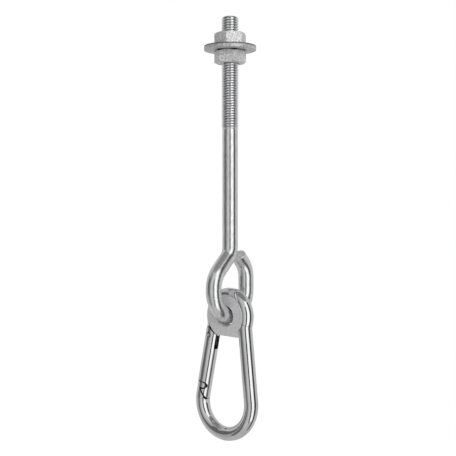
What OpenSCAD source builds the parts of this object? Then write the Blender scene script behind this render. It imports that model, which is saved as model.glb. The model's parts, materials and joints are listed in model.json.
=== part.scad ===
// Swing hanger bolt: a long threaded rod bent into an eye, two hex nuts and a wide washer on its thread,
// and a sprung snap hook that hangs from the eye by a grooved eyelet.
// The origin is on the rod's axis at the washer's underside. The eye lies in XZ and the snap hook in YZ.

/* [Rod] */
// Outer diameter of the thread
thread_d = 10; // [8:0.5:12]
// Diameter of the plain rod below the thread
shank_d = 9.2; // [8:0.1:10]
// Rod above the washer's underside
rod_above = 20; // [18:0.5:40]
// Length of the thread
thread_len = 68; // [50:0.5:80]
// Bevel at the rod's tip
tip_bevel = 1; // [0.4:0.1:1.6]

/* [Eye] */
// Washer's underside to the middle of the eye's bottom bar
eye_drop = 157.5; // [145:0.5:175]
// Middle of the rod to the middle of either limb
eye_half_w = 15; // [14:0.5:18]
// Lean of the limb that runs down from the rod
eye_lean = 46; // [42:1:50]
// Bend where the rod turns into the eye
neck_r = 9; // [7:0.5:11]
// Bend of the shoulder on the rod's side
shoulder_r = 15; // [12:0.5:16]
// Straight stretch below that shoulder
shoulder_drop = 1; // [0.5:0.5:4]
// Bend of the shoulder on the free end's side
tail_r = 14; // [12:0.5:15]
// Straight stretch below the free end's shoulder
tail_drop = 7; // [5:0.5:9]
// Turn of the free end towards the rod
tail_turn = 45; // [35:1:50]
// Straight stretch at the free end
tail_end = 5; // [2:0.5:6]

/* [Nuts and washer] */
// Width of a nut across its flats
nut_af = 17; // [16:0.5:19]
// Height of a nut
nut_h = 7.8; // [6:0.1:9]
// Bevel at both ends of a nut's bore
bore_bevel = 0.5; // [0.2:0.1:1]
// Turn of the upper nut about the rod
upper_nut_turn = 25.5; // [0:0.5:60]
// Turn of the lower nut about the rod
lower_nut_turn = 56; // [0:0.5:60]
// Outer diameter of the washer
washer_d = 31; // [24:0.5:36]
// Hole in the washer
washer_hole_d = 10.5; // [10.4:0.1:13]
// Thickness of the washer
washer_t = 2.7; // [1.5:0.1:3]

/* [Snap hook] */
// Diameter of the hook's wire
wire_d = 8.4; // [7:0.1:9]
// Overall length of the hook
hook_len = 91.5; // [84:0.5:100]
// Middle of the wire in the round bottom bow
bow_r = 18.8; // [18:0.1:21]
// Lean of the two limbs
limb_lean = 9; // [8:0.5:10.5]
// Bend where the wire leaves the eyelet
kink_r = 8; // [6:0.5:10]
// Lean of the whole hook from plumb, towards its gate
hook_hang = 3; // [-5:0.5:5]

/* [Eyelet] */
// Narrowest diameter of the eyelet's hole
eyelet_hole_d = 10.2; // [10:0.1:12]
// Rounding of the hole from face to face
eyelet_round_r = 10; // [8:0.1:10.5]
// Metal between the hole and the groove
eyelet_wall = 3.2; // [2.8:0.05:4]
// Height of a flange above the floor of the groove
flange_h = 4.6; // [3:0.05:5]
// Least thickness of a flange
flange_t = 0.55; // [0.4:0.05:1]
// Middle of the hole to the eyelet's flat foot
foot_drop = 11.5; // [11:0.1:12.5]
// Reach of the foot towards the hook's spine
foot_reach = 10.2; // [9:0.1:11]

/* [Gate] */
// Diameter of the gate
gate_d = 8.8; // [7.6:0.1:9]
// Thickness of the tongue that the gate turns on
tongue_t = 3; // [2.6:0.1:3.4]
// Half width of the tongue's end
tongue_half_w = 2.6; // [2:0.1:3]
// Hinge to the flat end of the tongue
tongue_end = 3.3; // [3:0.1:3.6]
// Diameter of the hinge rivet
rivet_d = 3; // [2.4:0.1:3.2]
// Rise of the rivet's domed ends
rivet_dome = 0.4; // [0.2:0.1:0.6]
// Depth of the gate's slot below the hinge
slot_depth = 8; // [7:0.5:10]
// Hinge to the top of the latch head
head_top = 29.7; // [26:0.1:31]
// Height of the latch head
head_h = 3.1; // [2.8:0.1:4]
// Reach of the latch head past the middle of the wire
head_reach = 3.1; // [2.4:0.1:3.2]
// Length of the gate's toe below the latch head
toe_len = 8; // [5:0.1:9]

/* [Gate spring] */
// Diameter of the plunger
plunger_d = 3; // [2.4:0.1:3.1]
// Length of the plunger
plunger_len = 8; // [7:0.5:10]
// Diameter of the spring's wire
spring_wire_d = 0.5; // [0.4:0.05:0.6]
// Turns in the spring
spring_turns = 9; // [6:1:12]
// Length of the spring
spring_len = 12; // [10:0.5:14]

/* [Clearances] */
// Between the thread and a nut's bore
thread_gap = 0.05; // [0.02:0.01:0.1]
// Between the eye's bar and the eyelet that hangs on it
hang_gap = 0.2; // [0.1:0.05:0.4]
// Between the wire and the eyelet's groove
wrap_gap = 0.15; // [0.05:0.05:0.3]
// Between the rivet and the tongue's bore
pivot_gap = 0.05; // [0.02:0.01:0.1]
// Between the rivet and the gate's bores
rivet_gap = 0.02; // [0.01:0.01:0.05]
// Each side of the tongue in the gate's slot
slot_gap = 0.15; // [0.1:0.05:0.3]
// Round the top of the gate
hinge_gap = 0.4; // [0.3:0.05:0.6]
// Round the latch head and the toe
latch_gap = 0.7; // [0.3:0.05:0.8]
// Between the plunger or the spring and the gate's bore
bore_gap = 0.1; // [0.05:0.05:0.2]
// Between the plunger, the tongue and the spring, end to end
stack_gap = 0.1; // [0.05:0.05:0.2]

/* [Hidden] */
$fn = 64;

steel = "gainsboro";
plate = "silver";
dull_steel = "darkgray";

shank_r = shank_d / 2;
thread_r = thread_d / 2;
wire_r = wire_d / 2;
gate_r = gate_d / 2;
eyelet_hole_r = eyelet_hole_d / 2;
// Long enough to pass through any piece of the hook
through = 60;
// A straight stretch of wire is thinner than its bends by this step, so that they join in one solid
seam_step = 0.02;
seam_lap = 0.3;
seam_short = 0.05;

// Eye, with its heights measured as Z
bar_z = -eye_drop;
eye_mid_z = bar_z + eye_half_w;
shoulder_z = eye_mid_z + shoulder_drop;
lean_len = (eye_half_w - (neck_r + shoulder_r) * (1 - cos(eye_lean))) / sin(eye_lean);
neck_z = shoulder_z + (neck_r + shoulder_r) * sin(eye_lean) + lean_len * cos(eye_lean);
neck_end = [-neck_r * (1 - cos(eye_lean)), neck_z - neck_r * sin(eye_lean)];
lean_end = neck_end - lean_len * [sin(eye_lean), cos(eye_lean)];
tail_z = eye_mid_z + tail_drop;
tail_start = [eye_half_w - tail_r * (1 - cos(tail_turn)), tail_z + tail_r * sin(tail_turn)];
tail_tip = tail_start + tail_end * [-sin(tail_turn), cos(tail_turn)];
thread_end_z = rod_above - thread_len;
runout = thread_r - shank_r;

// Snap hook, measured from the eyelet's middle: x is Y and y is Z
eyelet_z = bar_z + shank_r + hang_gap - eyelet_hole_r;
groove_floor_r = eyelet_hole_r + eyelet_wall;
groove_r = wire_r + wrap_gap;
wrap_r = groove_floor_r + groove_r;
flange_r = groove_floor_r + flange_h;
eyelet_half_w = groove_r + flange_t;
bow_drop = hook_len - wrap_r - bow_r - wire_d;
limb_off = bow_r - bow_drop * sin(limb_lean);
limb_out = [cos(limb_lean), sin(limb_lean)];
limb_down = [sin(limb_lean), -cos(limb_lean)];
kink_along = sqrt(pow(wrap_r + kink_r, 2) - pow(limb_off + kink_r, 2));
kink_mid = (limb_off + kink_r) * limb_out + kink_along * limb_down;
kink_angle = atan2(kink_mid.y, kink_mid.x);
limb_top = limb_off * limb_out + kink_along * limb_down;
bow_mid = [0, -bow_drop];
limb_end = bow_mid + bow_r * limb_out;

// Gate, in its own frame: the hinge is the origin, x points out of the hook and y up along the gate
gate_corner_r = gate_r + 0.1;
gate_bevel_r = 0.76 * gate_r;
gate_bevel_angle = 45;
hinge_from_eyelet = flange_r + hinge_gap + gate_corner_r;
hinge_along = sqrt(pow(hinge_from_eyelet, 2) - pow(limb_off, 2));
hinge = limb_off * limb_out + hinge_along * limb_down;
limb_top_y = hinge_along - kink_along;
limb_end_y = hinge_along - bow_drop * cos(limb_lean);
rivet_r = rivet_d / 2;
slot_w = tongue_t + 2 * slot_gap;
head_end = head_top + head_h;
head_round_r = head_h / 2;
head_round_x = head_round_r - head_reach;
strip_x = 0.3;
toe_end = head_end + toe_len;
toe_slope = [-(strip_x + gate_r), -toe_len];

// Spring and plunger, downwards from the hinge
plunger_r = plunger_d / 2;
bore_r = plunger_r + bore_gap;
plunger_top = tongue_end + stack_gap;
spring_top = plunger_top + plunger_len + stack_gap;
bore_end = spring_top + spring_len + stack_gap;
coil_r = bore_r - bore_gap - spring_wire_d / 2;

// Frames

// The eye's plane: x is X and y is Z
module eye_frame() rotate([90, 0, 0]) children();

// The hook's plane, from the eyelet's middle: x is Y, y is Z and z is X
module hook_frame()
    translate([0, 0, bar_z])
        rotate([hook_hang, 0, 0])
            translate([0, 0, eyelet_z - bar_z])
                rotate([90, 0, 90])
                    children();

// The gate's frame, within the hook's plane and in the part's frame
module gate_place() translate([hinge.x, hinge.y, 0]) rotate([0, 0, limb_lean]) children();
module gate_frame() hook_frame() gate_place() children();

// Round wire

// A bend of wire in the xy plane, a hair short of both its ends
module wire_bend(mid, bend_r, from, to, r) {
    short = seam_short / bend_r * 180 / PI;
    translate([mid.x, mid.y, 0])
        rotate_extrude(angle = to - from - 2 * short, start = from + short)
            translate([bend_r, 0])
                circle(r);
}

// A straight round bar in the xy plane
module round_bar(from, to, r) {
    run = to - from;
    translate([from.x, from.y, 0])
        rotate([0, 0, atan2(run.y, run.x)])
            rotate([0, 90, 0])
                cylinder(h = norm(run), r = r);
}

// A straight stretch of wire that runs a little way into the bend at each end
module wire_link(from, to, r) {
    lap = seam_lap * (to - from) / norm(to - from);
    round_bar(from - lap, to + lap, r - seam_step);
}

// A flat shape in the xy plane, made thick on both sides
module slab(t) linear_extrude(height = t, center = true) children();

// Rod, nuts and washer

module threaded_rod() {
    translate([0, 0, thread_end_z])
        cylinder(h = thread_len - tip_bevel, r = thread_r);
    translate([0, 0, rod_above - tip_bevel])
        cylinder(h = tip_bevel, r1 = thread_r, r2 = thread_r - tip_bevel);
    translate([0, 0, thread_end_z - runout])
        cylinder(h = runout, r1 = shank_r, r2 = thread_r);
}

module eye() {
    wire_link([0, thread_end_z], [0, neck_z], shank_r);
    wire_bend([-neck_r, neck_z], neck_r, -eye_lean, 0, shank_r);
    wire_link(neck_end, lean_end, shank_r);
    wire_bend([shoulder_r - eye_half_w, shoulder_z], shoulder_r, 180 - eye_lean, 180, shank_r);
    wire_link([-eye_half_w, shoulder_z], [-eye_half_w, eye_mid_z], shank_r);
    wire_bend([0, eye_mid_z], eye_half_w, 180, 360, shank_r);
    wire_link([eye_half_w, eye_mid_z], [eye_half_w, tail_z], shank_r);
    wire_bend([eye_half_w - tail_r, tail_z], tail_r, 0, tail_turn, shank_r);
    wire_link(tail_start, tail_tip, shank_r);
}

module eye_bolt() color(steel) {
    threaded_rod();
    eye_frame() eye();
}

// A hex nut that stands on z = 0, bevelled at both ends of its corners
module hex_nut() {
    corner_r = nut_af / sqrt(3);
    face_r = 0.475 * nut_af;
    bevel_h = (corner_r - face_r) * tan(30);
    bore = thread_r + thread_gap;
    difference() {
        intersection() {
            cylinder(h = nut_h, r = corner_r, $fn = 6);
            rotate_extrude()
                polygon([[0, 0], [face_r, 0], [corner_r, bevel_h], [corner_r, nut_h - bevel_h],
                    [face_r, nut_h], [0, nut_h]]);
        }
        translate([0, 0, -1])
            cylinder(h = nut_h + 2, r = bore);
        for (end = [0, 1])
            translate([0, 0, end * nut_h])
                mirror([0, 0, end])
                    translate([0, 0, -bore_bevel])
                        cylinder(h = 2 * bore_bevel, r1 = bore + 2 * bore_bevel, r2 = bore);
    }
}

module upper_nut() color(steel)
    translate([0, 0, washer_t])
        rotate([0, 0, upper_nut_turn])
            hex_nut();

module lower_nut() color(steel)
    translate([0, 0, -nut_h])
        rotate([0, 0, lower_nut_turn])
            hex_nut();

module washer() color(plate)
    difference() {
        cylinder(h = washer_t, d = washer_d);
        translate([0, 0, -1])
            cylinder(h = washer_t + 2, d = washer_hole_d);
    }

// Snap hook

// The latch head on the wire's nose, grown by a gap
module head_shape(gap) {
    difference() {
        translate([head_round_x, -head_end - gap])
            square([gate_d, 2 * head_h]);
        circle(head_top - gap);
    }
    translate([head_round_x, -head_top - head_round_r])
        circle(head_round_r + gap);
}

// The part of the nose below the head, behind the gate's toe, grown by a gap
module nose_shape(gap) {
    shift = gap * norm(toe_slope) / toe_len;
    edge = [strip_x - shift, -head_end];
    polygon([[edge.x, -head_top - head_round_r], [through, -head_top - head_round_r], [through, -through * 2],
        edge + 3 * toe_slope - [0, through], edge + 3 * toe_slope, edge]);
}

// Everything that the hook's nose fills at the latch
module latch_shape(gap) {
    head_shape(gap);
    nose_shape(gap);
}

// The bend where the wire leaves the eyelet, on the gate's side
module kink() {
    wire_link(wrap_r / norm(kink_mid) * kink_mid, (wrap_r + seam_short) / norm(kink_mid) * kink_mid, wire_r);
    wire_bend(kink_mid, kink_r, 180 + kink_angle, 180 + limb_lean, wire_r);
}

// The wire from the gate's hinge round the eyelet and the bow to the latch
module hook_wire() {
    wire_bend([0, 0], wrap_r, kink_angle, 180 - kink_angle, wire_r);
    kink();
    mirror([1, 0, 0]) {
        kink();
        wire_link(limb_top, limb_end, wire_r);
    }
    wire_bend(bow_mid, bow_r, 180 - limb_lean, 360 + limb_lean, wire_r);
    gate_place() {
        round_bar([0, limb_top_y + seam_lap], [0, -tongue_end], wire_r - seam_step);
        round_bar([0, head_h - head_top], [0, limb_end_y - seam_lap], wire_r - seam_step);
    }
}

// What is cut from the wire to leave the latch head and the seat of the gate's toe
module latch_cut()
    slab(through)
        difference() {
            translate([-gate_d, -toe_end - gate_r])
                square([2 * gate_d, toe_end + gate_r - head_top + 2 * head_h]);
            latch_shape(0);
        }

// What is cut from the wire to leave the flat tongue and its bore
module tongue_cut() {
    for (side = [-1, 1]) {
        translate([0, 0, side * (through + tongue_t) / 2])
            cylinder(h = through, r = gate_corner_r + hinge_gap, center = true);
        translate([side * (gate_r + tongue_half_w), -gate_r, 0])
            cube([gate_d, gate_d, through], center = true);
    }
    cylinder(h = through, r = rivet_r + pivot_gap, center = true);
}

module hook_body() color(steel)
    hook_frame()
        difference() {
            hook_wire();
            gate_place() {
                latch_cut();
                tongue_cut();
            }
        }

// Outline of the eyelet: round, with a flat foot that reaches over to the hook's spine
module eyelet_shape()
    intersection() {
        union() {
            circle(flange_r);
            translate([-foot_reach, -foot_drop])
                square([foot_reach, foot_drop]);
        }
        translate([-flange_r, -foot_drop])
            square(2 * flange_r);
    }

// Half section of the eyelet's hole, rounded from face to face
module hole_section()
    difference() {
        translate([0, -eyelet_half_w - 1])
            square([eyelet_hole_r + eyelet_round_r, 2 * eyelet_half_w + 2]);
        translate([eyelet_hole_r + eyelet_round_r, 0])
            circle(eyelet_round_r);
    }

// A ring with a rounded hole and a groove that the wire wraps
module eyelet() color(dull_steel)
    hook_frame()
        difference() {
            slab(2 * eyelet_half_w)
                eyelet_shape();
            rotate_extrude()
                translate([wrap_r, 0])
                    circle(groove_r);
            rotate_extrude()
                hole_section();
            mirror([1, 0, 0])
                round_bar(limb_top, limb_end, groove_r);
        }

// Gate

// Outline of the gate seen along the hinge, bevelled at the top of its inner side
module gate_shape()
    difference() {
        union() {
            circle(gate_corner_r);
            translate([-gate_corner_r, -toe_end])
                square([2 * gate_corner_r, toe_end]);
        }
        rotate([0, 0, 180 - gate_bevel_angle])
            translate([gate_bevel_r, -gate_d])
                square(2 * gate_d);
        latch_shape(latch_gap);
    }

module gate() color(steel)
    gate_frame()
        difference() {
            intersection() {
                round_bar([0, gate_d], [0, -toe_end], gate_r);
                slab(through)
                    gate_shape();
            }
            translate([-gate_d, -slot_depth, -slot_w / 2])
                cube([2 * gate_d, slot_depth + 2 * gate_d, slot_w]);
            round_bar([0, 0], [0, -bore_end], bore_r);
            cylinder(h = through, r = rivet_r + rivet_gap, center = true);
        }

// The hinge pin, domed at both ends
module gate_rivet() color(dull_steel)
    gate_frame() {
        dome_r = (rivet_r * rivet_r + rivet_dome * rivet_dome) / (2 * rivet_dome);
        cylinder(h = gate_d, r = rivet_r, center = true);
        for (side = [0, 1])
            mirror([0, 0, side])
                translate([0, 0, gate_r])
                    intersection() {
                        translate([0, 0, rivet_dome - dome_r])
                            sphere(dome_r);
                        cylinder(h = rivet_d, r = rivet_r);
                    }
    }

// The pin that the spring pushes against the tongue, with a round nose
module spring_plunger() color(dull_steel)
    gate_frame()
        translate([0, -plunger_top - plunger_r, 0]) {
            sphere(plunger_r);
            round_bar([0, 0], [0, plunger_r - plunger_len], plunger_r);
        }

// The coil in the gate's bore, as one swept tube
module gate_spring() color(dull_steel) {
    sides = 8;
    steps = 18;
    rings = spring_turns * steps;
    tube_r = spring_wire_d / 2;
    climb = spring_len - spring_wire_d;
    points = [
        for (i = [0:rings], k = [0:sides - 1])
            let (turn = i * 360 / steps, around = k * 360 / sides, out = coil_r + tube_r * cos(around))
                [out * cos(turn), tube_r * (1 + sin(around)) + climb * i / rings, out * sin(turn)]
    ];
    walls = [
        for (i = [0:rings - 1], k = [0:sides - 1])
            let (a = i * sides + k, b = i * sides + (k + 1) % sides)
                [a, a + sides, b + sides, b]
    ];
    first = [for (k = [0:sides - 1]) k];
    last = [for (k = [sides - 1:-1:0]) rings * sides + k];
    gate_frame()
        translate([0, -spring_top - spring_len, 0])
            polyhedron(points, concat([first, last], walls));
}

eye_bolt();
upper_nut();
washer();
lower_nut();
hook_body();
eyelet();
gate();
gate_rivet();
spring_plunger();
gate_spring();
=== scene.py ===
import json
import math

import bmesh
import bpy
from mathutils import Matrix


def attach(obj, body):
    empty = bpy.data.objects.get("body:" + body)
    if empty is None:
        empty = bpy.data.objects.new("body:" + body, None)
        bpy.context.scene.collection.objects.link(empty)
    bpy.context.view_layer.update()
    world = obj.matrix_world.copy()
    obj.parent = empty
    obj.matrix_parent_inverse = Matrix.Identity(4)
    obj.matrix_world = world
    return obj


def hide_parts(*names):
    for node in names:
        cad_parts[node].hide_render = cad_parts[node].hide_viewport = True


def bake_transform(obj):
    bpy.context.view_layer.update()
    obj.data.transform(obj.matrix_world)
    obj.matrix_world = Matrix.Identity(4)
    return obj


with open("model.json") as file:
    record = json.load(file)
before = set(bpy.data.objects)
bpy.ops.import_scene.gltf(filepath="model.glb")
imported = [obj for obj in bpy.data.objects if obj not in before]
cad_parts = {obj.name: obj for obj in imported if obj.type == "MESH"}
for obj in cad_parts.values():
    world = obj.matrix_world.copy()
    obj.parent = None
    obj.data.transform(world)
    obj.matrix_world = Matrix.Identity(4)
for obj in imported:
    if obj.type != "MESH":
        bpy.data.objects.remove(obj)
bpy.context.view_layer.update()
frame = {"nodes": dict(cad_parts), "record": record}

# Sizes, in millimetres and degrees, with the origin on the rod's axis at the washer's underside
MM = 0.001
HAIR = 0.015  # a piece stays this far inside the solid that it stands for

ROD_TOP = 20.0
TIP_BEVEL = 1.0
THREAD_R = 5.0
ROOT_R = 4.0
PITCH = 1.5
THREAD_START = -49.2
FADE_START = -47.3
FADE_LEN = 2.0
THREAD_COLUMNS = 72
THREAD_ROWS = 12  # rows of points in one pitch
FLANK_RISE = 1.25  # above 1 it leaves flats on the thread
CREST_SHARE = 0.6  # above 0 it widens the crest and narrows the root

SHANK_R = 4.6
SHANK_TOP = (THREAD_START + 2 * FADE_START) / 3  # on the plain foot of the thread
EYE_DROP = 157.5
EYE_HALF_W = 15.0
EYE_LEAN = 46.0
NECK_R = 9.0
SHOULDER_R = 15.0
SHOULDER_DROP = 1.0  # from the shoulder's bend to the eye's round bottom
TAIL_R = 14.0
TAIL_DROP = 7.0
TAIL_TURN = 45.0
TAIL_END = 5.0
TAIL_EASE = 0.25
BEND_STEP = 2.0  # between the rings of a bend
WIRE_SIDES = 72

NUT_AF = 17.0
NUT_H = 7.8
NUT_BORE_R = 5.05
NUT_BORE_BEVEL = 0.5
NUT_FACE_R = 0.475 * NUT_AF
NUT_BEVEL_SLOPE = math.tan(math.radians(30))
NUT_SIDES_AT = (30, 90, 150)  # each with the opposite side
NUT_ROUNDING = 70  # the higher, the sharper the nut's corners
NUT_COLUMNS = 360
UPPER_NUT_TURN = 25.5
LOWER_NUT_TURN = 56.0

WASHER_R = 15.5
WASHER_HOLE_R = 5.25
WASHER_T = 2.7
WASHER_EASE = 0.25
WASHER_COLUMNS = 180
EASE_STEPS = 4  # in each rounded corner

JOINTS = {joint["name"]: joint for joint in frame["record"]["behaviour"]["joints"]}
HINGE = [c / MM for c in JOINTS["gate_swing"]["pos_m"]]
GATE_DOWN = JOINTS["plunger_slide"]["axis"]
RIVET_R = 1.5
SPRING_TOP = 11.5  # down the gate from its hinge
SPRING_LEN = 12.0
SPRING_TURNS = 9
SPRING_WIRE_R = 0.25
COIL_R = 1.25
COIL_STEPS = 32  # rings of points in one turn
COIL_SIDES = 16

SHARP_ANGLE = math.radians(28)
WELD = 1e-7  # in metres


# Meshes

def placed(name, data):
    """A new object in the scene."""
    made = bpy.data.objects.new(name, data)
    bpy.context.scene.collection.objects.link(made)
    return made


def mesh_object(name, points, faces):
    mesh = bpy.data.meshes.new(name)
    mesh.from_pydata([[c * MM for c in p] for p in points], [], faces)
    work = bmesh.new()
    work.from_mesh(mesh)
    bmesh.ops.remove_doubles(work, verts=work.verts, dist=WELD)
    bmesh.ops.dissolve_degenerate(work, edges=work.edges, dist=WELD)
    bmesh.ops.recalc_face_normals(work, faces=work.faces)
    work.to_mesh(mesh)
    work.free()
    mesh.shade_smooth()
    mesh.set_sharp_from_angle(angle=SHARP_ANGLE)
    return placed(name, mesh)


def stand_for(piece, node, body, material):
    piece.data.materials.append(material)
    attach(piece, body)
    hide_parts(node)


def skin(rings, closed):
    """Points and faces of a surface through equal rings, joined end to start if closed, else capped."""
    sides = len(rings[0])
    count = len(rings)
    points = [point for ring in rings for point in ring]
    faces = []
    for i in range(count if closed else count - 1):
        low, high = i * sides, (i + 1) % count * sides
        for k in range(sides):
            following = (k + 1) % sides
            faces.append((low + k, low + following, high + following, high + k))
    if not closed:
        faces.append(list(range(sides)))
        faces.append(list(range((count - 1) * sides, count * sides)))
    return points, faces


def joined(*surfaces):
    points, faces = [], []
    for more_points, more_faces in surfaces:
        start = len(points)
        points += more_points
        faces += [[start + i for i in face] for face in more_faces]
    return points, faces


def lathe(section, columns):
    """A closed section of (radius, height) turned about the rod's axis."""
    angles = [2 * math.pi * k / columns for k in range(columns)]
    rings = []
    for radius, z in section:
        rings.append([(radius * math.cos(a), radius * math.sin(a), z) for a in angles])
    return skin(rings, closed=True)


# Bent wire, as a list of (x, y, heading) in a plane

def bend(mid_x, mid_y, radius, start, end):
    steps = max(2, math.ceil(abs(end - start) / BEND_STEP))
    turn = 90 if end > start else -90
    path = []
    for i in range(steps + 1):
        angle = start + (end - start) * i / steps
        a = math.radians(angle)
        path.append((mid_x + radius * math.cos(a), mid_y + radius * math.sin(a), angle + turn))
    return path


def tube(path, radii, place):
    """A round tube along a path, where place(x, y, out) turns the path's plane into the part's frame."""
    rings = []
    for (x, y, heading), radius in zip(path, radii):
        h = math.radians(heading)
        ring = []
        for k in range(WIRE_SIDES):
            around = 2 * math.pi * k / WIRE_SIDES
            aside, out = radius * math.cos(around), radius * math.sin(around)
            ring.append(place(x - aside * math.sin(h), y + aside * math.cos(h), out))
        rings.append(ring)
    return skin(rings, closed=False)


# Rod with its thread and eye

def thread_radius(share, z):
    """Radius of the thread at a share of its pitch, faded out at the shank and bevelled at the tip."""
    wave = FLANK_RISE * (1 - 4 * abs(share - 0.5)) + CREST_SHARE
    full = (THREAD_R + ROOT_R) / 2 + (THREAD_R - ROOT_R) / 2 * max(-1, min(1, wave))
    fade = max(0, min(1, (z - FADE_START) / FADE_LEN))
    plain = SHANK_R - 2 * HAIR
    tip = THREAD_R - max(0, z - ROD_TOP + TIP_BEVEL)
    return min(plain + (full - plain) * fade, tip)


def thread():
    """A surface whose rows climb one pitch a turn, so that each row's end meets a later row's start."""
    turns = math.ceil((ROD_TOP - THREAD_START) / PITCH) + 1
    rows = turns * THREAD_ROWS + 1
    points = []
    for row in range(rows):
        for column in range(THREAD_COLUMNS):
            climb = row / THREAD_ROWS + column / THREAD_COLUMNS
            z = min(THREAD_START + PITCH * climb, ROD_TOP)
            radius = thread_radius(row % THREAD_ROWS / THREAD_ROWS, z)
            a = 2 * math.pi * column / THREAD_COLUMNS
            points.append((radius * math.cos(a), radius * math.sin(a), z))

    def corner(row, column):
        if column == THREAD_COLUMNS:
            row, column = row + THREAD_ROWS, 0
        return row * THREAD_COLUMNS + column

    faces = []
    for row in range(rows - 1):
        for column in range(THREAD_COLUMNS):
            low = (corner(row, column), corner(row, column + 1))
            high = (corner(row + 1, column + 1), corner(row + 1, column))
            if max(low + high) < len(points):
                faces.append(low + high)
    faces.append([corner(rows - 1, column) for column in range(THREAD_COLUMNS)])
    return points, faces


def eye_path():
    mid_z = EYE_HALF_W - EYE_DROP
    shoulder_z = mid_z + SHOULDER_DROP
    lean = math.radians(EYE_LEAN)
    bends_r = NECK_R + SHOULDER_R
    lean_len = (EYE_HALF_W - bends_r * (1 - math.cos(lean))) / math.sin(lean)
    neck_z = shoulder_z + bends_r * math.sin(lean) + lean_len * math.cos(lean)
    return (
        [(0, SHANK_TOP, -90)]
        + bend(-NECK_R, neck_z, NECK_R, 0, -EYE_LEAN)
        + bend(SHOULDER_R - EYE_HALF_W, shoulder_z, SHOULDER_R, 180 - EYE_LEAN, 180)
        + bend(0, mid_z, EYE_HALF_W, 180, 360)
        + bend(EYE_HALF_W - TAIL_R, mid_z + TAIL_DROP, TAIL_R, 0, TAIL_TURN)
    )


def rod(material):
    path = eye_path()
    x, y, heading = path[-1]
    h = math.radians(heading)
    for ahead in (TAIL_END - TAIL_EASE, TAIL_END):
        path.append((x + ahead * math.cos(h), y + ahead * math.sin(h), heading))
    radii = [SHANK_R - HAIR] * len(path)
    radii[-1] -= TAIL_EASE
    eye = tube(path, radii, lambda x, y, out: (x, out, y))
    piece = mesh_object("threaded_eye_rod", *joined(thread(), eye))
    stand_for(piece, "eye_bolt", "bolt", material)


# Nuts and washer

def hex_reach(angle):
    """Radius of the nut's side in a direction, with slightly rounded corners."""
    shares = [abs(math.cos(angle - math.radians(side))) for side in NUT_SIDES_AT]
    total = sum(share ** NUT_ROUNDING for share in shares)
    return NUT_AF / 2 / total ** (1 / NUT_ROUNDING)


def nut(name, node, body, low, turn, material):
    lip_r = NUT_BORE_R + NUT_BORE_BEVEL
    columns = []
    for k in range(NUT_COLUMNS):
        angle = 2 * math.pi * k / NUT_COLUMNS
        side = hex_reach(angle) - HAIR
        edge = (side - NUT_FACE_R) * NUT_BEVEL_SLOPE
        section = (
            (NUT_BORE_R, NUT_BORE_BEVEL), (NUT_BORE_R, NUT_H - NUT_BORE_BEVEL),
            (lip_r, NUT_H), (NUT_FACE_R, NUT_H), (side, NUT_H - edge),
            (side, edge), (NUT_FACE_R, 0), (lip_r, 0),
        )
        a = angle + math.radians(turn)
        columns.append([(radius * math.cos(a), radius * math.sin(a), low + z) for radius, z in section])
    rings = list(zip(*columns))
    stand_for(mesh_object(name, *skin(rings, closed=True)), node, body, material)


def eased(section, ease):
    """A section with its corners rounded off."""
    soft = []
    count = len(section)
    for i, (r, z) in enumerate(section):
        sides = []
        for other_r, other_z in (section[i - 1], section[(i + 1) % count]):
            far = math.hypot(other_r - r, other_z - z)
            sides.append(((other_r - r) / far * ease, (other_z - z) / far * ease))
        (back_r, back_z), (next_r, next_z) = sides
        for k in range(EASE_STEPS + 1):
            turn = math.radians(90 * k / EASE_STEPS)
            back, ahead = 1 - math.sin(turn), 1 - math.cos(turn)
            soft.append((r + back_r * back + next_r * ahead, z + back_z * back + next_z * ahead))
    return soft


def washer(material):
    rim = WASHER_R - HAIR
    section = ((WASHER_HOLE_R, 0), (rim, 0), (rim, WASHER_T), (WASHER_HOLE_R, WASHER_T))
    piece = mesh_object("wide_washer", *lathe(eased(section, WASHER_EASE), WASHER_COLUMNS))
    stand_for(piece, "washer", "bottom_nut", material)


# Gate spring

def in_gate(across, out, down):
    """A point of the gate: along the rivet, out of the hook, and down from the hinge."""
    _, down_y, down_z = GATE_DOWN
    return across, HINGE[1] - out * down_z + down * down_y, HINGE[2] + out * down_y + down * down_z


def gate_coil(material):
    """The spring, a coil between its seat in the gate and the plunger that pushes on it."""
    low, high = SPRING_TOP + SPRING_LEN, SPRING_TOP
    climb = SPRING_LEN - 2 * SPRING_WIRE_R
    count = SPRING_TURNS * COIL_STEPS
    rings = []
    for i in range(count + 1):
        turn = 2 * math.pi * i / COIL_STEPS
        down = low - SPRING_WIRE_R - climb * i / count
        ring = []
        for k in range(COIL_SIDES):
            around = 2 * math.pi * k / COIL_SIDES
            reach = COIL_R + SPRING_WIRE_R * math.cos(around)
            rise = SPRING_WIRE_R * math.sin(around)
            ring.append(in_gate(reach * math.cos(turn), reach * math.sin(turn), down - rise))
        rings.append(ring)
    piece = mesh_object("gate_coil", *skin(rings, closed=False))
    piece.data.materials.append(material)
    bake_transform(piece)
    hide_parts("gate_spring")


# Shader nodes

def fill(tree, node, inputs):
    """Sets a node's inputs to values, or links them to the sockets of other nodes."""
    for name, value in inputs.items():
        if isinstance(value, bpy.types.NodeSocket):
            tree.links.new(value, node.inputs[name])
        else:
            node.inputs[name].default_value = value


def shader_node(tree, kind, inputs, **settings):
    made = tree.nodes.new("ShaderNode" + kind)
    for name, value in settings.items():
        setattr(made, name, value)
    fill(tree, made, inputs)
    return made


def mapped(tree, value, before, after):
    """A value carried from one range to another, and held at the ends."""
    ends = dict(zip(("From Min", "From Max", "To Min", "To Max"), (*before, *after)))
    return shader_node(tree, "MapRange", {"Value": value, **ends}).outputs["Result"]


def times(tree, colour, share):
    """A colour multiplied by a share."""
    inputs = {"Factor": 1.0, "A": colour, "B": share}
    product = shader_node(tree, "Mix", inputs, data_type="RGBA", blend_type="MULTIPLY")
    return product.outputs["Result"]


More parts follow.
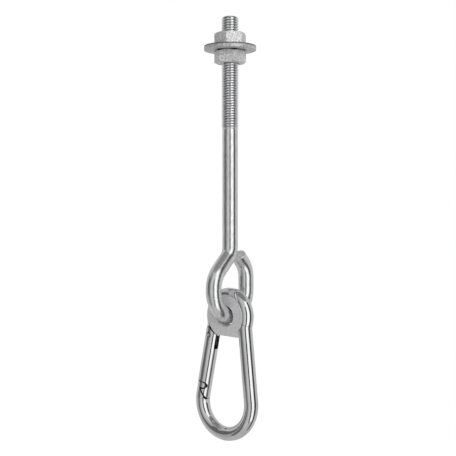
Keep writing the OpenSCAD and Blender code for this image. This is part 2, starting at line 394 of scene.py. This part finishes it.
def new_material(name):
    material = bpy.data.materials.new(name)
    material.use_nodes = True
    return material


# Plated steel, with its lengths in millimetres and its grain per metre

NOISE_RANGE = (0.3, 0.7)  # where most of a noise texture's values lie
ROUGH_DETAIL, TONE_DETAIL, BUMP_DETAIL = 4, 3, 2
TONE_COARSER = 3  # the grain of the tone, against that of the roughness
BUMP_FINER = 1.5
BUMP_STRENGTH = 0.08
BUMP_H = 0.1
BLUE_SHARE = 1.01  # for a slightly cool grey

# Painted shade in narrow gaps and at contacts, from ambient occlusion
CREVICE_SAMPLES = 8
CREVICE_OPEN = (0.35, 0.8)  # how open to its surroundings a point is at full dark and at none
CREVICE_TONE = 0.02

# Painted shade along sharp edges
EDGE_SAMPLES = 8
EDGE_TURNS = (math.cos(math.radians(25)), math.cos(math.radians(10)))  # at full dark and at none
EDGE_TONE = 0.05

ALONG_ROD = (0, 0, 1)
ROUND_RIVET = (0, 1, 1)

SHANK_SHARE = 0.93  # the plain shank's tone, against the thread's
SHANK_EASE = 0.3
# The washer's dark line is painted shade, a band just below its top under the upper nut
RIM_SHADE_DROP = 0.4  # of the dark line round the washer, from its top
RIM_SHADE_REACH = (0.4, 0.2)  # from the line's middle, at no dark and at full
RIM_SHADE_SHARE = 0.15
RIVET_LINE_REACH = (RIVET_R - 0.5, RIVET_R - 0.2)  # from the rivet's axis, at no dark and at full
RIVET_LINE_SHARE = 0.05


def painted_crevice_shade(tree, colour, reach):
    """Painted shade: a colour that goes nearly black where other metal is close, in narrow gaps and at
    contacts.
    """
    near = shader_node(tree, "AmbientOcclusion", {"Distance": reach * MM}, samples=CREVICE_SAMPLES)
    return times(tree, colour, mapped(tree, near.outputs["AO"], CREVICE_OPEN, (CREVICE_TONE, 1)))


def painted_edge_shade(tree, colour, width):
    """Painted shade: a colour that goes dark along sharp edges, deepening the dark lines beside the
    gaps.
    """
    rounded = shader_node(tree, "Bevel", {"Radius": width * MM}, samples=EDGE_SAMPLES)
    surface = shader_node(tree, "NewGeometry", {})
    normals = {0: rounded.outputs["Normal"], 1: surface.outputs["Normal"]}
    same = shader_node(tree, "VectorMath", normals, operation="DOT_PRODUCT")
    return times(tree, colour, mapped(tree, same.outputs["Value"], EDGE_TURNS, (EDGE_TONE, 1)))


def steel(
    name, tone, roughness, metal=1.0, spread=0.05, grain=700, streak=1, drift=0.1, reach=1.2, edge=0
):
    """Steel whose roughness and tone drift with a fine grain, drawn out along the rod by streak."""
    material = new_material(name)
    tree = material.node_tree
    place = shader_node(tree, "TexCoord", {}).outputs["Object"]
    stretched = shader_node(tree, "Mapping", {"Vector": place, "Scale": (1, 1, 1 / streak)})

    def noise(scale, detail):
        inputs = {"Vector": stretched.outputs["Vector"], "Scale": scale, "Detail": detail}
        return shader_node(tree, "TexNoise", inputs).outputs["Fac"]

    roughnesses = (roughness - spread, roughness + spread)
    ramp = shader_node(tree, "ValToRGB", {"Fac": noise(grain / TONE_COARSER, TONE_DETAIL)})
    shares = (1 - drift, 1 + drift / 2)
    for stop, position, share in zip(ramp.color_ramp.elements, NOISE_RANGE, shares):
        stop.position = position
        stop.color = (tone * share, tone * share, tone * share * BLUE_SHARE, 1)
    # painted shade where other metal is close
    colour = painted_crevice_shade(tree, ramp.outputs["Color"], reach)
    # painted shade along sharp edges
    if edge:
        colour = painted_edge_shade(tree, colour, edge)
    height = noise(grain * BUMP_FINER, BUMP_DETAIL)
    relief = {"Height": height, "Strength": BUMP_STRENGTH, "Distance": BUMP_H * MM}
    fill(tree, tree.nodes["Principled BSDF"], {
        "Base Color": colour,
        "Metallic": metal,
        "Roughness": mapped(tree, noise(grain, ROUGH_DETAIL), NOISE_RANGE, roughnesses),
        "Normal": shader_node(tree, "Bump", relief).outputs["Normal"],
    })
    return material


def tint(material, start, axes, reaches, share):
    """Darkens a material to a share, between two distances from a point, measured along the axes."""
    tree = material.node_tree
    base = tree.nodes["Principled BSDF"].inputs["Base Color"]
    place = shader_node(tree, "TexCoord", {}).outputs["Object"]
    from_start = {0: place, 1: [c * MM for c in start]}
    away = shader_node(tree, "VectorMath", from_start, operation="SUBTRACT")
    along = shader_node(tree, "VectorMath", {0: away.outputs["Vector"], 1: axes}, operation="MULTIPLY")
    far = shader_node(tree, "VectorMath", {0: along.outputs["Vector"]}, operation="LENGTH")
    level = mapped(tree, far.outputs["Value"], [reach * MM for reach in reaches], (1, share))
    tree.links.new(times(tree, base.links[0].from_socket, level), base)
    return material


def dress(node, material):
    mesh = frame["nodes"][node].data
    mesh.materials.clear()
    mesh.materials.append(material)


# Stage, in metres and degrees

CAMERA_AZIMUTH = -50.0
CAMERA_FAR = 0.62
VIEW_MID_Z = -0.1055
VIEW_TALL = 0.2713
VIEW_ASIDE = 0.00125
SENSOR = 36.0  # the camera's own millimetres
SEEN_RAYS = ("Is Camera Ray", "Is Glossy Ray", "Is Transmission Ray")
WORLD_LIGHT = (0.7, 1.0)  # on other rays and on seen ones
FLOOR_Z = -1.6
FLOOR_HALF_W = 6.0
FLOOR_TONE = 0.85
FLOOR_ROUGHNESS = 0.9
FLOOR_GLOW = (0.0, 0.45)  # on other rays and on seen ones
CARD_FAR = 1.2
CARD_STEPS = 16
CARD_TILT = 50  # the upright cards reach this far above and below the level
# From and to, round from the camera with right positive, and the card's brightness
CARDS = (
    ("card_front", -99, -40, 0.42),
    ("card_middle", -40, 9, 0.64),
    ("card_left_rim", -179, -99, 0.55),
    ("card_strip", 11, 46, 1.2),
    ("card_right_rim", 51, 179, 0.58),
)
# From and to, up from the level, and the cap's brightness
CAPS = (("card_above", CARD_TILT, 90, 0.26), ("card_below", -90, -CARD_TILT, 0.5))
# Dark strips in front of the cards, round and up, which draw the thin dark lines along the wire
LINES = (
    ("line_left", (-99, -57), (-14, 28), 0.14),
    ("line_left_long", (-76, -57), (-45, 45), 0.14),
    ("line_middle", (-8, 10), (-50, 24), 0.06),
    ("line_right", (51, 83), (-75, 45), 0.06),
)
LINE_FAR = 1.15
LAMP_AT, LAMP_FAR, LAMP_Z = 29.0, 1.6, 0.45
LAMP_SIZE = (0.9, 0.9)
LAMP_POWER = 12.0
WHITE = (1, 1, 1, 1)


def toward(azimuth, far, z):
    """A point at a distance from the rod, at an azimuth from the camera with right positive."""
    a = math.radians(CAMERA_AZIMUTH + azimuth)
    return far * math.sin(a), -far * math.cos(a), z


def seen(tree):
    """A socket that is 1 on the rays that show the background, straight or in the metal."""
    path = shader_node(tree, "LightPath", {})
    last = path.outputs[SEEN_RAYS[0]]
    for kind in SEEN_RAYS[1:]:
        either = shader_node(tree, "Math", {0: last, 1: path.outputs[kind]}, operation="MAXIMUM")
        last = either.outputs[0]
    return last


def white_world():
    world = bpy.data.worlds.new("studio")
    bpy.context.scene.world = world
    world.use_nodes = True
    tree = world.node_tree
    strength = mapped(tree, seen(tree), (0, 1), WORLD_LIGHT)
    fill(tree, tree.nodes["Background"], {"Color": WHITE, "Strength": strength})


def floor():
    signs = ((-1, -1), (1, -1), (1, 1), (-1, 1))
    corners = [(x * FLOOR_HALF_W, y * FLOOR_HALF_W, FLOOR_Z) for x, y in signs]
    mesh = bpy.data.meshes.new("floor")
    mesh.from_pydata(corners, [], [(0, 1, 2, 3)])
    plane = placed("floor", mesh)
    material = new_material("floor_paper")
    tree = material.node_tree
    fill(tree, tree.nodes["Principled BSDF"], {
        "Base Color": (FLOOR_TONE, FLOOR_TONE, FLOOR_TONE, 1),
        "Roughness": FLOOR_ROUGHNESS,
        "Specular IOR Level": 0.0,
        "Emission Color": WHITE,
        "Emission Strength": mapped(tree, seen(tree), (0, 1), FLOOR_GLOW),
    })
    mesh.materials.append(material)


def glow_card(name, azimuths, tilts, brightness, far=CARD_FAR):
    """A piece of a dome round the object, seen only in the metal's reflections."""
    row = CARD_STEPS + 1
    points, faces = [], []
    for i in range(row):
        azimuth = azimuths[0] + (azimuths[1] - azimuths[0]) * i / CARD_STEPS
        for k in range(row):
            tilt = math.radians(tilts[0] + (tilts[1] - tilts[0]) * k / CARD_STEPS)
            points.append(toward(azimuth, far * math.cos(tilt), VIEW_MID_Z + far * math.sin(tilt)))
            if i and k:
                here = i * row + k
                faces.append((here, here - 1, here - 1 - row, here - row))
    mesh = bpy.data.meshes.new(name)
    mesh.from_pydata(points, [], faces)
    sheet = placed(name, mesh)
    material = new_material(name)
    tree = material.node_tree
    tree.nodes.remove(tree.nodes["Principled BSDF"])
    glow = shader_node(tree, "Emission", {"Strength": brightness}).outputs["Emission"]
    fill(tree, tree.nodes["Material Output"], {"Surface": glow})
    mesh.materials.append(material)
    sheet.visible_camera = False
    sheet.visible_diffuse = False
    sheet.visible_shadow = False


def lamp():
    light = bpy.data.lights.new("softbox", "AREA")
    light.shape = "RECTANGLE"
    light.size, light.size_y = LAMP_SIZE
    light.energy = LAMP_POWER
    holder = placed("softbox", light)
    holder.location = toward(LAMP_AT, LAMP_FAR, LAMP_Z)
    holder.visible_glossy = False  # the cards make the reflections
    fall = math.atan2(LAMP_Z - VIEW_MID_Z, LAMP_FAR)
    holder.rotation_euler = (math.radians(90) - fall, 0, math.radians(CAMERA_AZIMUTH + LAMP_AT))


def camera():
    lens = bpy.data.cameras.new("camera")
    lens.sensor_width = SENSOR
    lens.lens = SENSOR * CAMERA_FAR / VIEW_TALL
    eye = placed("camera", lens)
    x, y, z = toward(0, CAMERA_FAR, VIEW_MID_Z)
    turn = math.radians(CAMERA_AZIMUTH)
    eye.location = (x - VIEW_ASIDE * math.cos(turn), y - VIEW_ASIDE * math.sin(turn), z)
    eye.rotation_euler = (math.radians(90), 0, turn)
    bpy.context.scene.camera = eye


def stage():
    white_world()
    floor()
    for name, start, end, brightness in CARDS:
        glow_card(name, (start, end), (-CARD_TILT, CARD_TILT), brightness)
    for name, low, high, brightness in CAPS:
        glow_card(name, (0, 360), (low, high), brightness)
    for name, azimuths, tilts, brightness in LINES:
        glow_card(name, azimuths, tilts, brightness, LINE_FAR)
    lamp()
    camera()
    bpy.context.scene.view_settings.view_transform = "Standard"


# Pieces and their finishes

def rod_steel():
    bare = steel("bright_rod", tone=0.93, roughness=0.23, grain=2500, streak=3, drift=0.14, reach=0.3)
    thread_len = ROD_TOP - THREAD_START
    reaches = (thread_len, thread_len + SHANK_EASE)
    return tint(bare, (0, 0, ROD_TOP), ALONG_ROD, reaches, SHANK_SHARE)


def washer_steel():
    plate = steel("bright_washer", tone=0.62, roughness=0.45, metal=0.6, grain=3600, drift=0.5)
    # painted shade: a dark band round the washer just below its top
    shade_at = (0, 0, WASHER_T - RIM_SHADE_DROP)
    return tint(plate, shade_at, ALONG_ROD, RIM_SHADE_REACH, RIM_SHADE_SHARE)


def rivet_steel():
    pin = steel("rivet_end", tone=0.85, roughness=0.25)
    return tint(pin, HINGE, ROUND_RIVET, RIVET_LINE_REACH, RIVET_LINE_SHARE)


def polished(name, reach):
    return steel(name, tone=0.8, roughness=0.08, spread=0.03, streak=6, reach=reach, edge=0.5)


def dull(name):
    return steel(name, tone=0.76, roughness=0.5, metal=0.45, grain=3600, drift=0.2, reach=0.5)


def build():
    rod(rod_steel())
    hexed = steel("bright_nut", tone=0.68, roughness=0.4, metal=0.42, grain=3600, drift=0.48)
    nut("upper_hex_nut", "upper_nut", "top_nut", WASHER_T, UPPER_NUT_TURN, hexed)
    nut("lower_hex_nut", "lower_nut", "bottom_nut", -NUT_H, LOWER_NUT_TURN, hexed)
    washer(washer_steel())
    dress("hook_body", polished("bright_wire", reach=0.8))
    dress("eyelet", dull("dull_eyelet"))
    # the gate's wider reach paints its slot dark with painted shade
    dress("gate", polished("bright_gate", reach=2.5))
    dress("gate_rivet", rivet_steel())
    # the plunger is painted nearly black, as painted shade that keeps the gate's slot dark
    dress("spring_plunger", steel("plunger_pin_painted_shade", tone=0.1, roughness=0.5))
    gate_coil(steel("spring_wire", tone=0.1, roughness=0.4))


build()
stage()
bpy.context.view_layer.update()
